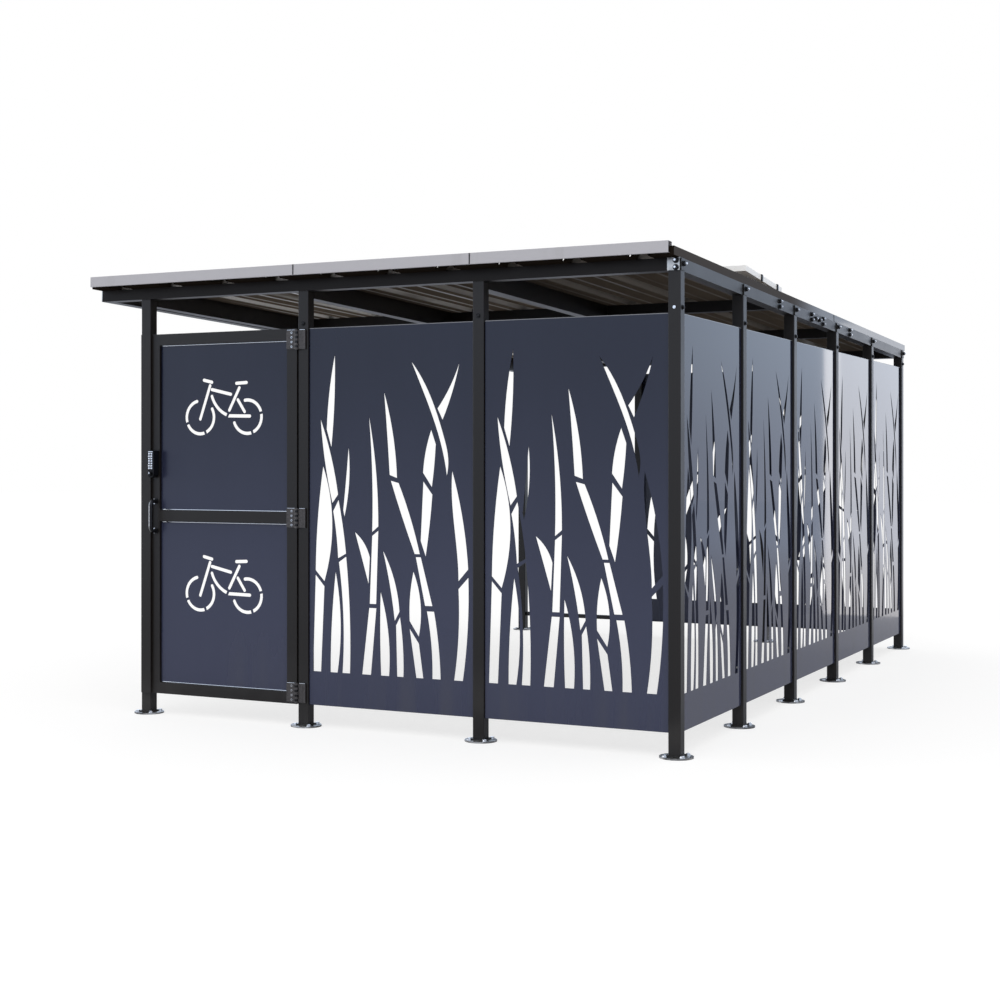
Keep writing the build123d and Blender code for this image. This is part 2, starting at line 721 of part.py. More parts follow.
def stand_corners(bar):
    rise = math.tan(solar_tilt)
    low_top = stand_foot + solar_low + bar * rise - bar
    high_top = stand_foot + solar_low + (stand_run - bar) * rise - bar
    return [(solar_start + bar, stand_foot + bar), (stand_end - bar, stand_foot + bar),
            (stand_end - bar, low_top), (solar_start + bar, high_top)]


with BuildPart() as stands:
    for index in (rib_count - 2, rib_count - 1):
        corner = roof_plane.from_local_coords((rib_centre(index) - rib_crest / 4, 0, 0))
        with BuildSketch(Plane(corner, x_dir=slope, z_dir=(1, 0, 0))):
            with BuildLine():
                Polyline(*stand_corners(0), close=True)
            make_face()
            with BuildLine():
                Polyline(*stand_corners(solar_bar), close=True)
            make_face(mode=Mode.SUBTRACT)
        extrude(amount=solar_stand / 2, both=True)
save(stands.part, "solar_stand")

with BuildPart() as solar:
    low_edge = roof_plane.from_local_coords((solar_middle, stand_end, stand_foot + solar_low))
    solar_angle = fall_angle + solar_tilt
    solar_normal = (0, math.sin(solar_angle), math.cos(solar_angle))
    solar_plane = Plane(low_edge, x_dir=(1, 0, 0), z_dir=solar_normal)
    with BuildSketch(solar_plane):
        Rectangle(solar_width, solar_length, align=(Align.CENTER, Align.MAX))
    extrude(amount=solar_thickness)
    with BuildSketch(solar_plane.offset(solar_thickness)):
        with Locations((0, -solar_lip)):
            Rectangle(solar_width - 2 * solar_lip, solar_length - 2 * solar_lip,
                      align=(Align.CENTER, Align.MAX))
    extrude(amount=-solar_recess, mode=Mode.SUBTRACT)
save(solar.part, "solar_panel")
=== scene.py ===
import json
import math
import bpy
from mathutils import Matrix, Vector


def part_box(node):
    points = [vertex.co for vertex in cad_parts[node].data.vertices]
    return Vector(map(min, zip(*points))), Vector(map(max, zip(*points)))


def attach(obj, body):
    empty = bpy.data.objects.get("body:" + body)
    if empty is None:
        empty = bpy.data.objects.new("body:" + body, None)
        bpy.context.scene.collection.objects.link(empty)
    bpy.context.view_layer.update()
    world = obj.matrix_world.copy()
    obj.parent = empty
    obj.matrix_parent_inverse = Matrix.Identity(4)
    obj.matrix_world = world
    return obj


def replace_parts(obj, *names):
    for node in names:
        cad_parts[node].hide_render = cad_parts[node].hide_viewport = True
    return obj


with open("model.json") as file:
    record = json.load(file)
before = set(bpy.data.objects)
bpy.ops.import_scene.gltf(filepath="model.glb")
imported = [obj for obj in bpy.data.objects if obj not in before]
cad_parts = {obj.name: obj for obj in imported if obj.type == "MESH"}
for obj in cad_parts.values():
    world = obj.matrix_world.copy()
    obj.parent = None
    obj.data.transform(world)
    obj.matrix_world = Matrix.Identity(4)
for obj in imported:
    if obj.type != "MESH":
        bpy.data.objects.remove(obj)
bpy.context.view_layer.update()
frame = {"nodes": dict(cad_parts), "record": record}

nodes = frame["nodes"]
print("frame loaded:", len(nodes), "nodes")

# places read off the frame
frontRow = ["front_left_post", "hinge_post", "front_middle_post", "front_right_post"]
backRow = ["back_left_post", "back_post_left", "back_post_right", "back_right_post"]
rightRow = ["right_post_1", "right_post_2", "right_post_3", "right_post_4"]
roofFall = 0.025                                     # metres down per metre towards the back
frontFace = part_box("front_left_post")[0].y
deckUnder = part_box("front_beam")[1].z
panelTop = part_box("front_panel_1")[1].z
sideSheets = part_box("right_panel_1")[0].x
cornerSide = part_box("front_right_post")[0].x
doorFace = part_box("door_stiles")[0].y
deckLeft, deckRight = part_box("roof_sheet_1")[0].x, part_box("roof_sheet_3")[1].x
ribCount = 10
ribPitch = (deckRight - deckLeft) / ribCount
roofUp = Vector((0, roofFall, 1)).normalized()
outFront, outRight, outBack = Vector((0, -1, 0)), Vector((1, 0, 0)), Vector((0, 1, 0))
straightUp = Vector((0, 0, 1))


def centreOf(node):
    low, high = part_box(node)
    return (low + high) / 2


def roofZ(y, rise=0.0):
    return deckUnder - (y - frontFace) * roofFall + rise


# camera, floor and sky
view = {"place": (4.0827, -9.7694, 1.3688), "turn": 27.24, "lens": 59.35, "shift": (0.07, -0.0387)}
studio = {"floorSize": 90, "floorColour": (0.9, 0.9, 0.9, 1), "floorGlow": 0.6, "floorWhite": 1.18, "sky": 0.85,
          "skyTint": (0.97, 1.13, 1.38, 1), "horizonTint": (0.74, 0.82, 1.0, 1), "horizon": (-0.02, 0.09),
          "farTint": (0.52, 0.64, 0.89, 1), "nearTint": (0.26, 0.27, 0.32, 1), "near": 3.0, "far": 22.0,
          "key": {"place": (1.5, -12, 9), "aim": (0, 0, 0.5), "width": 8, "height": 6, "power": 300},
          "strip": {"place": (-9, -5, 1.6), "aim": (-1.3, -2.55, 1.1), "width": 3, "height": 4, "power": 130}}
cardRow = {"y": 5.0, "z": 1.3, "height": 2.6, "colour": (1.0, 0.95, 0.91),
           "cards": {"outerCard": (2.730, 0.14, 1.75), "middleCard": (2.530, 0.26, 2.0),
                     "innerCard": (2.0475, 0.705, 4.4)}}    # x, width and power of each
for card, (cardX, cardWidth, cardPower) in cardRow["cards"].items():
    studio[card] = {"place": (cardX, cardRow["y"], cardRow["z"]), "aim": (cardX, 0, cardRow["z"]), "width": cardWidth,
                    "height": cardRow["height"], "power": cardPower, "colour": cardRow["colour"]}


class Wire:                                          # a node socket that takes part in sums
    def __init__(self, tree, socket=None):
        self.tree = tree
        self.socket = socket

    def node(self, kind, settings=None, sockets=None, out=0):
        made = self.tree.nodes.new(kind)
        for key, value in (settings or {}).items():
            setattr(made, key, value)
        for key, value in (sockets or {}).items():
            if isinstance(value, Wire):
                self.tree.links.new(value.socket, made.inputs[key])
            else:
                made.inputs[key].default_value = value
        return Wire(self.tree, made.outputs[out])

    def maths(self, operation, first, second=0.0):
        return self.node("ShaderNodeMath", {"operation": operation}, {0: first, 1: second})

    def __add__(self, other):
        return self.maths("ADD", self, other)

    def __radd__(self, other):
        return self.maths("ADD", other, self)

    def __sub__(self, other):
        return self.maths("SUBTRACT", self, other)

    def __rsub__(self, other):
        return self.maths("SUBTRACT", other, self)

    def __mul__(self, other):
        return self.maths("MULTIPLY", self, other)

    def __rmul__(self, other):
        return self.maths("MULTIPLY", other, self)

    def __truediv__(self, other):
        return self.maths("DIVIDE", self, other)

    def __abs__(self):
        return self.maths("ABSOLUTE", self)

    def fract(self):
        return self.maths("FRACT", self)

    def most(self, other):
        return self.maths("MAXIMUM", self, other)

    def fade(self, low, high):                       # smooth step from 0 at low to 1 at high
        return self.node("ShaderNodeMapRange", {"interpolation_type": "SMOOTHSTEP"},
                         {"Value": self, "From Min": low, "From Max": high})

    def tint(self, first, second):                   # colour first where the mask is 0, second where it is 1
        return self.node("ShaderNodeMix", {"data_type": "RGBA"}, {0: self, 6: first, 7: second}, out=2)

    def part(self, axis):
        return self.node("ShaderNodeSeparateXYZ", None, {0: self}, out=axis)

    def noise(self, scale, detail=3.0, stretch=(1, 1, 1)):
        spread = self.node("ShaderNodeMapping", None, {"Vector": self, "Scale": stretch})
        return self.node("ShaderNodeTexNoise", None, {"Vector": spread, "Scale": scale, "Detail": detail})

    def bump(self, depth, strength=1.0):             # depth in metres
        return self.node("ShaderNodeBump", None, {"Height": self, "Distance": depth, "Strength": strength})


def newFinish(name):
    material = bpy.data.materials.new(name)
    material.use_nodes = True
    shader = material.node_tree.nodes["Principled BSDF"]
    place = Wire(material.node_tree).node("ShaderNodeTexCoord", out="Object")
    return material, shader, place


def feed(tree, shader, sockets):
    for key, value in sockets.items():
        if isinstance(value, Wire):
            tree.links.new(value.socket, shader.inputs[key])
        else:
            shader.inputs[key].default_value = value


def setCamera():
    data = bpy.data.cameras.new("camera")
    data.lens = view["lens"]
    data.shift_x, data.shift_y = view["shift"]
    camera = bpy.data.objects.new("camera", data)
    camera.location = view["place"]
    camera.rotation_euler = (math.radians(90), 0, math.radians(view["turn"]))
    bpy.context.collection.objects.link(camera)
    bpy.context.scene.camera = camera


def rayKind(wire, name):
    return wire.node("ShaderNodeLightPath", out=f"Is {name} Ray")


def seenRays(wire):                                  # 1 for rays that meet the backdrop, not its light
    return rayKind(wire, "Camera").most(rayKind(wire, "Glossy")).most(rayKind(wire, "Transmission"))


def setSky():
    world = bpy.data.worlds.new("studioSky")
    world.use_nodes = True
    bpy.context.scene.world = world
    tree = world.node_tree
    wire = Wire(tree)
    lit = wire.node("ShaderNodeBackground", None, {"Color": (1, 1, 1, 1), "Strength": studio["sky"]})
    rise = wire.node("ShaderNodeTexCoord", out="Generated").part(2).fade(*studio["horizon"])
    mirrored = rise.tint(studio["horizonTint"], studio["skyTint"])
    shown = rayKind(wire, "Glossy").tint((1, 1, 1, 1), mirrored)
    white = wire.node("ShaderNodeBackground", None, {"Color": shown, "Strength": 1.0})
    both = wire.node("ShaderNodeMixShader", None, {0: seenRays(wire), 1: lit, 2: white})
    tree.links.new(both.socket, tree.nodes["World Output"].inputs["Surface"])


def setFloor():
    bpy.ops.mesh.primitive_plane_add(size=studio["floorSize"])
    floor = bpy.context.object
    floor.name = "floor"
    material, shader, place = newFinish("paleFloor")
    tree = material.node_tree
    feed(tree, shader, {"Base Color": studio["floorColour"], "Roughness": 0.9, "Specular IOR Level": 0.0})
    away = place.node("ShaderNodeVectorMath", {"operation": "LENGTH"}, {0: place}, out="Value")
    mirrored = away.fade(studio["near"], studio["far"]).tint(studio["nearTint"], studio["farTint"])
    shown = rayKind(place, "Glossy").tint((1, 1, 1, 1), mirrored)
    glow = place.node("ShaderNodeEmission", None, {"Color": shown, "Strength": studio["floorWhite"]})
    base = Wire(tree, shader.outputs[0])
    mixed = place.node("ShaderNodeMixShader", None, {0: seenRays(place) * studio["floorGlow"], 1: base, 2: glow})
    tree.links.new(mixed.socket, tree.nodes["Material Output"].inputs["Surface"])
    floor.data.materials.append(material)


def setLamp(name):
    facts = studio[name]
    data = bpy.data.lights.new(name + "Softbox", "AREA")
    data.energy = facts["power"]
    data.color = facts.get("colour", (1, 1, 1))
    data.shape = "RECTANGLE"
    data.size, data.size_y = facts["width"], facts["height"]
    lamp = bpy.data.objects.new(name + "Softbox", data)
    lamp.location = facts["place"]
    lamp.rotation_euler = (Vector(facts["aim"]) - lamp.location).to_track_quat("-Z", "Y").to_euler()
    lamp.visible_camera = False
    lamp.visible_diffuse = name != "strip"
    bpy.context.collection.objects.link(lamp)


setCamera()
setSky()
setFloor()
for lampName in ("key", "outerCard", "middleCard", "innerCard", "strip"):
    setLamp(lampName)
bpy.context.scene.view_settings.view_transform = "Standard"
print("studio set")


# finishes
framePaintLook = {"colour": (0.0084, 0.0062, 0.0048, 1), "dust": (0.040, 0.036, 0.033, 1), "dustTop": 0.45,
                  "paintedBeamShade": 0.6, "plate": (0.060, 0.056, 0.058, 1)}


def framePaint():                                    # fine textured powder coat
    material, shader, place = newFinish("framePaint")
    cloud = place.noise(2.3)
    dust = (1 - place.part(2).fade(0.02, framePaintLook["dustTop"])) * cloud.fade(0.42, 0.72)
    low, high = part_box("front_beam")                 # painted shade: the beam in the fascia's lee is darkened by a raised metallic value
    paintedBeamShade = place.part(2).fade(low.z - 0.002, low.z) * (1 - place.part(1).fade(high.y + 0.001, high.y + 0.004))
    paintedBeamShade = paintedBeamShade * (1 - place.part(0).fade(cornerSide - 0.004, cornerSide))
    leaf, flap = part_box("door_hinge_leaves"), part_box("post_hinge_leaves")    # hinge plates are greyer
    plate = 1 - place.part(1).fade(doorFace - 0.0012, doorFace - 0.0006)
    plate = plate * (1 - place.part(2).fade(leaf[1].z, leaf[1].z + 0.01))
    plate = plate * place.part(0).fade(leaf[0].x - 0.016, leaf[0].x - 0.013)
    plate = plate * (1 - place.part(0).fade(flap[1].x + 0.001, flap[1].x + 0.004)) * place.noise(160, 2).fade(0.1, 0.6)
    grain = place.noise(650, 2)
    dusty = (dust * 0.55).tint(framePaintLook["colour"], framePaintLook["dust"])
    feed(material.node_tree, shader, {
        "Base Color": plate.tint(dusty, framePaintLook["plate"]),
        "Roughness": 0.30 + 0.16 * cloud + 0.2 * dust,
        # Metallic here carries the painted shade of the front beam
        "Metallic": paintedBeamShade * framePaintLook["paintedBeamShade"],
        "Normal": grain.bump(0.00025, 0.5),
        "IOR": 1.4})
    return material


sheetPaintLook = {"colour": (0.0035, 0.005, 0.0165, 1), "pale": (0.0400, 0.046, 0.086, 1),
                  "dust": (0.060, 0.058, 0.060, 1), "dustTop": 0.55, "edge": (0.34, 0.35, 0.38, 1),
                  "paleBelow": 0.2}


def sheetPaint():                                    # satin coat on the folded sheets
    material, shader, place = newFinish("sheetPaint")
    cloud = place.noise(1.1)
    runs = place.noise(9, 4, (1, 1, 0.06))
    dust = (1 - place.part(2).fade(0.1, sheetPaintLook["dustTop"])) * runs.fade(0.45, 0.75)
    peel = place.noise(240, 2)
    floorSheenAndMottle = 0.85 * (1 - place.part(2).fade(sheetPaintLook["paleBelow"], panelTop))    # painted reflection of the pale floor: paler towards the ground, darker at the top
    floorSheenAndMottle = floorSheenAndMottle + 0.2 * (0.6 * cloud + 0.4 * runs)
    shade = floorSheenAndMottle.tint(sheetPaintLook["colour"], sheetPaintLook["pale"])
    # painted highlight along the sheets' top fold
    edge = place.part(2).fade(panelTop - 0.005, panelTop - 0.002) * (0.45 + 0.4 * cloud)
    satin = 0.22 * (1 - place.part(0).fade(sideSheets - 0.01, sideSheets - 0.004))
    feed(material.node_tree, shader, {
        "Base Color": edge.tint((dust * 0.3).tint(shade, sheetPaintLook["dust"]), sheetPaintLook["edge"]),
        "Roughness": 0.03 + satin + 0.03 * cloud + 0.15 * dust + 0.3 * edge,
        "Normal": peel.bump(0.0001, 0.08),
        "IOR": 1.45})
    return material


fasciaPaintLook = {"colour": (0.405, 0.398, 0.425, 1), "stain": (0.25, 0.245, 0.24, 1)}


def fasciaPaint():
    material, shader, place = newFinish("fasciaPaint")
    runs = place.noise(14, 4, (1, 1, 0.1))
    cloud = place.noise(1.7)
    stain = runs.fade(0.55, 0.85) * cloud.fade(0.35, 0.7)
    peel = place.noise(300, 2)
    feed(material.node_tree, shader, {
        "Base Color": (stain * 0.35).tint(fasciaPaintLook["colour"], fasciaPaintLook["stain"]),
        "Roughness": 0.32 + 0.14 * cloud,
        "Normal": peel.bump(0.0002, 0.2)})
    return material


deckLook = {"colour": (0.078, 0.061, 0.046, 1), "wearAndGripHighlight": (0.125, 0.102, 0.081, 1), "grimeAndEavesShade": (0.012, 0.009, 0.007, 1),
            "rib": (0.200, 0.172, 0.142, 1), "trim": (0.030, 0.022, 0.016, 1), "glint": (0.95, 0.93, 0.90, 1),
            "foot": 0.045, "crest": 0.020, "swage": 0.108, "swageWidth": 0.016, "soft": 0.004, "bright": -0.9,
            "dark": 0.7, "gloss": (0.14, 0.62), "glossFrom": -0.6, "glossTo": 0.2, "lowTilt": -0.3}


def markUnderside(piece):                            # the piece's own mark of its downward faces
    mark = piece.data.attributes.new("underside", "FLOAT", "FACE")
    for face in piece.data.polygons:
        mark.data[face.index].value = float(face.normal.z < deckLook["lowTilt"])


def deckCoating():                                   # coil-coated sheet, streaked down the slope; its bright lines under the roof are painted glints
    material, shader, place = newFinish("deckCoating")
    runs = place.noise(11, 5, (1, 0.05, 1))
    cloud = place.noise(1.4)
    grimeAndEavesShade = place.noise(5, 4, (1, 0.3, 1)).fade(0.55, 0.8)
    shade = (0.5 * runs + 0.5 * cloud).tint(deckLook["colour"], deckLook["wearAndGripHighlight"])
    offRib = abs((((place.part(0) - deckLeft) / ribPitch).fract() - 0.5) * ribPitch)
    rib = 1 - offRib.fade(deckLook["foot"] - deckLook["soft"], deckLook["foot"] + deckLook["soft"])
    flank = rib * offRib.fade(deckLook["crest"] - deckLook["soft"], deckLook["crest"] + deckLook["soft"])
    swage = 1 - abs(offRib - deckLook["swage"]).fade(0.0, deckLook["swageWidth"])
    # painted glints along the folds and swages of the underside, fading out towards the right
    glintLines = flank.most(swage) * runs.fade(0.30, 0.55)
    glintFalloff = 0.12 + 0.88 * (1 - place.part(0).fade(deckLook["bright"], deckLook["dark"]))
    # painted shade: the underside in front of the posts takes the dark grime colour
    under = place.part(1).fade(frontFace, frontFace + 0.03)
    # painted light: the ribs are coloured lighter to lift the shade in their hollows
    ribbed = (rib * 0.85).tint((grimeAndEavesShade * 0.5).tint(shade, deckLook["grimeAndEavesShade"]), deckLook["rib"])
    lower = place.node("ShaderNodeAttribute", {"attribute_name": "underside"}, out="Fac")
    glint = glintLines * glintFalloff * under * lower
    far = place.part(1).fade(deckLook["glossFrom"], deckLook["glossTo"])
    beyond = place.part(0).fade(deckRight, deckRight + 0.0008)
    outer = beyond.most(1 - place.part(0).fade(deckLeft - 0.0008, deckLeft))
    feed(material.node_tree, shader, {
        "Base Color": outer.tint(under.tint(deckLook["grimeAndEavesShade"], (glint * 0.9).tint(ribbed, deckLook["glint"])),
                                 (runs * 0.4).tint(deckLook["trim"], deckLook["colour"])),
        "Roughness": 0.42 + 0.2 * runs,
        "Normal": (swage + 0.05 * place.noise(180, 2)).bump(0.003, 0.6),
        "Coat Weight": glint.most(outer * (deckLook["gloss"][0] + deckLook["gloss"][1] * far)),
        "Coat Roughness": 0.12,
        "Specular IOR Level": 0.0})
    return material


zincLook = {"bright": (0.58, 0.56, 0.53, 1), "dull": (0.13, 0.125, 0.12, 1), "flake": 55}


def galvanised():                                    # zinc with its flaked bloom
    material, shader, place = newFinish("galvanised")
    flakes = place.node("ShaderNodeTexVoronoi", None, {"Vector": place, "Scale": zincLook["flake"]}, out="Color")
    flake = flakes.part(0)
    cloud = place.noise(14, 2).fade(0.36, 0.62)
    feed(material.node_tree, shader, {
        "Base Color": (0.25 * flake + 0.75 * cloud).tint(zincLook["dull"], zincLook["bright"]),
        "Roughness": 0.26 + 0.2 * flake,
        "Normal": place.noise(320, 2).bump(0.0002, 0.25),
        "Metallic": 1.0})
    return material


# colour of the grip's painted highlight
gripHighlightMetal = (0.66, 0.66, 0.67, 1)


def blackCoat(name, colour, rough, grainScale, grainDepth, index):    # the grip's outer side carries a painted highlight of bright bare metal
    material, shader, place = newFinish(name)
    cloud = place.noise(30)
    low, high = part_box("pull_handle")
    middle = (low.x + high.x) / 2
    wearAndGripHighlight = (1 - place.part(0).fade(middle - 0.006, middle)) * cloud.fade(0.25, 0.45)
    wearAndGripHighlight = wearAndGripHighlight * place.part(2).fade(low.z, low.z + 0.01) * (1 - place.part(2).fade(high.z - 0.01, high.z))
    feed(material.node_tree, shader, {
        "Base Color": wearAndGripHighlight.tint(cloud.tint(colour, tuple(1.5 * part for part in colour[:3]) + (1,)), gripHighlightMetal),
        "Metallic": wearAndGripHighlight,
        "Roughness": rough + 0.12 * cloud,
        "Normal": place.noise(grainScale, 2).bump(grainDepth, 0.4),
        "IOR": index})
    return material


def brightMetal():
    material, shader, place = newFinish("brightMetal")
    brushed = place.noise(900, 3, (0.08, 1, 1))
    feed(material.node_tree, shader, {
        "Base Color": brushed.tint((0.70, 0.70, 0.71, 1), (0.84, 0.84, 0.85, 1)),
        "Roughness": 0.12 + 0.14 * brushed,
        "Metallic": 1.0})
    return material


def standAluminium():
    material, shader, place = newFinish("standAluminium")
    drawn = place.noise(260, 3, (1, 0.03, 1))
    feed(material.node_tree, shader, {
        "Base Color": drawn.tint((0.58, 0.59, 0.60, 1), (0.74, 0.75, 0.76, 1)),
        "Roughness": 0.3 + 0.18 * drawn,
        "Normal": drawn.bump(0.0001, 0.3),
        "Metallic": 1.0})
    return material


solarLook = {"tilt": 0.0763, "cell": 0.0785, "line": 0.0016, "wires": 3, "face": 0.010,
             "silicon": (0.006, 0.010, 0.030, 1), "silver": (0.42, 0.43, 0.45, 1), "frame": (0.95, 0.95, 0.95, 1)}


def solarGlass():                                    # silicon cells under glass in a metal edge
    material, shader, place = newFinish("solarGlass")
    middle = centreOf("solar_panel")
    tilt = solarLook["tilt"]
    across = place.part(0) - middle.x
    down = (place.part(1) - middle.y) * math.cos(tilt) - (place.part(2) - middle.z) * math.sin(tilt)
    above = (place.part(1) - middle.y) * math.sin(tilt) + (place.part(2) - middle.z) * math.cos(tilt)
    half = solarLook["line"] / solarLook["cell"]
    gap = abs((across / solarLook["cell"]).fract() - 0.5).most(abs((down / solarLook["cell"]).fract() - 0.5))
    wires = abs((across / (solarLook["cell"] / solarLook["wires"])).fract() - 0.5)
    silver = gap.fade(0.5 - half, 0.5).most((1 - wires.fade(0.0, 0.05)) * 0.7)
    inside = (1 - abs(across).fade(0.2375, 0.2385)) * (1 - abs(down).fade(0.3475, 0.3485))
    rim = 1 - inside * above.fade(solarLook["face"], solarLook["face"] + 0.001)
    sparkle = place.noise(140, 2)
    cell = sparkle.tint(solarLook["silicon"], tuple(1.8 * part for part in solarLook["silicon"][:3]) + (1,))
    feed(material.node_tree, shader, {
        "Base Color": rim.tint(silver.tint(cell, solarLook["silver"]), solarLook["frame"]),
        "Roughness": 0.08 + 0.34 * rim})
    return material


finishes = {
    "frame_paint": framePaint(),
    "sheet_paint": sheetPaint(),
    "fascia_paint": fasciaPaint(),
    "deck_coating": deckCoating(),
    "galvanised": galvanised(),
    "lock_case": blackCoat("lockCase", (0.004, 0.004, 0.005, 1), 0.24, 900, 0.0002, 1.26),
    "bright_metal": brightMetal(),
    "handle_coating": blackCoat("handleCoating", (0.005, 0.005, 0.006, 1), 0.14, 400, 0.0001, 1.33),
    "solar_glass": solarGlass(),
    "stand_aluminium": standAluminium(),
}
for subpart in frame["record"]["subparts"]:
    for slot in nodes[subpart["node"]].material_slots:
        slot.material = finishes[subpart["material_slot"]]
    if subpart["material_slot"] == "deck_coating":
        markUnderside(nodes[subpart["node"]])
print("finishes:", len(finishes))


# modelling helpers
def clearPick():
    bpy.ops.object.select_all(action="DESELECT")


def addRod(name, sides, radius, height, base=0.0):   # upright rod standing on z = base
    clearPick()
    bpy.ops.mesh.primitive_cylinder_add(vertices=sides, radius=radius, depth=height)
    rod = bpy.context.object
    rod.name = name
    bpy.ops.object.mode_set(mode="EDIT")
    bpy.ops.mesh.select_all(action="SELECT")
    bpy.ops.transform.translate(value=(0, 0, base + height / 2))
    bpy.ops.object.mode_set(mode="OBJECT")
    return rod


def addBlock(name, size, base=(0, 0, 0)):            # block standing on its base point
    clearPick()
    bpy.ops.mesh.primitive_cube_add(size=1)
    block = bpy.context.object
    block.name = name
    bpy.ops.object.mode_set(mode="EDIT")
    bpy.ops.mesh.select_all(action="SELECT")
    bpy.ops.transform.resize(value=size)
    bpy.ops.transform.translate(value=(base[0], base[1], base[2] + size[2] / 2))
    bpy.ops.object.mode_set(mode="OBJECT")
    return block


def pickFaces(piece, test):                          # leaves edit mode on with the tested faces selected
    bpy.ops.object.mode_set(mode="EDIT")
    bpy.ops.mesh.select_mode(type="FACE")
    bpy.ops.mesh.select_all(action="DESELECT")
    bpy.ops.object.mode_set(mode="OBJECT")
    for face in piece.data.polygons:
        face.select = test(face)
    bpy.ops.object.mode_set(mode="EDIT")


def raiseTop(piece, steps):                          # each step is how far in and how far up
    top = max(face.center.z for face in piece.data.polygons)
    pickFaces(piece, lambda face: face.center.z > top - 1e-6)
    for inward, upward in steps:
        if inward:
            bpy.ops.mesh.inset(thickness=inward)
        if upward:
            bpy.ops.mesh.extrude_region_move(TRANSFORM_OT_translate={"value": (0, 0, upward)})
    bpy.ops.object.mode_set(mode="OBJECT")


def softenEdges(piece, width, segments=1, limit=40):
    bevel = piece.modifiers.new("soften", "BEVEL")
    bevel.width, bevel.segments = width, segments
    bevel.limit_method, bevel.angle_limit = "ANGLE", math.radians(limit)
    bpy.context.view_layer.objects.active = piece
    bpy.ops.object.modifier_apply(modifier=bevel.name)


def joinAll(pieces, name):
    clearPick()
    for piece in pieces:
        piece.select_set(True)
    bpy.context.view_layer.objects.active = pieces[0]
    if len(pieces) > 1:
        bpy.ops.object.join()
    joined = bpy.context.object
    joined.name = name
    return joined


def dress(piece, slot, body):
    piece.data.materials.clear()
    piece.data.materials.append(finishes[slot])
    clearPick()
    piece.select_set(True)
    bpy.context.view_layer.objects.active = piece
    bpy.ops.object.shade_smooth_by_angle(angle=math.radians(35))
    if slot == "deck_coating":
        markUnderside(piece)
    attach(piece, body)
    return piece


def spread(model, name, spots, slot, body):          # copies at each spot, their +Z turned to its outward way
    copies = []
    for place, way in spots:
        copy = model.copy()
        copy.data = model.data.copy()
        bpy.context.collection.objects.link(copy)
        turn = Vector(way).to_track_quat("Z", "Y").to_matrix().to_4x4()
        copy.data.transform(Matrix.Translation(place) @ turn)
        copies.append(copy)
    return dress(joinAll(copies, name), slot, body)


def putAway(*models):
    for model in models:
        mesh = model.data
        bpy.data.objects.remove(model)
        bpy.data.meshes.remove(mesh)


# bolts on posts and beams
boltSize = {"washer": 0.0125, "washerHeight": 0.0025, "head": 0.0092, "headHeight": 0.008, "hexTop": 0.013,
            "tongue": (0.056, 0.057, 0.0035), "abovePanel": 0.024, "cornerRivet": (0.0075, 0.002), "endInset": 0.018,
            "hex": {"washer": 0.0145, "acrossCorners": 0.0120, "height": 0.0105}, "stud": (0.0056, 0.006)}
boltDrops = {"plate": -0.0305, "tongue": -0.027, "cross": (-0.015, -0.045), "end": (-0.014, -0.047),
             "splice": ((-0.135, (-0.014, -0.046)), (-0.045, (-0.030,)),
                        (0.045, (-0.030,)), (0.135, (-0.014, -0.046)))}    # below the deck, splice rows by place along


def domeBolt():
    size = boltSize
    bolt = addRod("domeBolt", 12, size["washer"], size["washerHeight"])
    step = size["headHeight"] / 4
    raiseTop(bolt, [(size["washer"] - size["head"], 2 * step)])
    top = size["washerHeight"] + 2 * step
    for inward, upward in ((0.0022, step * 1.2), (0.0026, step * 0.6)):
        pickFaces(bolt, lambda face: face.center.z > top - 1e-6)
        bpy.ops.mesh.inset(thickness=inward, depth=upward)
        bpy.ops.object.mode_set(mode="OBJECT")
        top += upward
    raiseTop(bolt, [(0.0008, -0.002)])
    return bolt


def hexBolt(name, washer, acrossCorners, height):
    seat = boltSize["washerHeight"]
    pieces = [addRod(name, 12, washer, seat)]
    head = addRod(name, 6, acrossCorners, height * 0.8, seat)
    top = seat + height * 0.8
    pickFaces(head, lambda face: face.center.z > top - 1e-6)
    bpy.ops.mesh.inset(thickness=acrossCorners * 0.14, depth=height * 0.2)
    bpy.ops.object.mode_set(mode="OBJECT")
    pieces.append(head)
    return joinAll(pieces, name)


def postSpots(names, face, height):
    spots = []
    for name in names:
        low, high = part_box(name)
        middle = (low + high) / 2
        if face.x:
            spots.append((Vector((high.x if face.x > 0 else low.x, middle.y, height)), face))
        else:
            spots.append((Vector((middle.x, high.y if face.y > 0 else low.y, height)), face))
    return spots


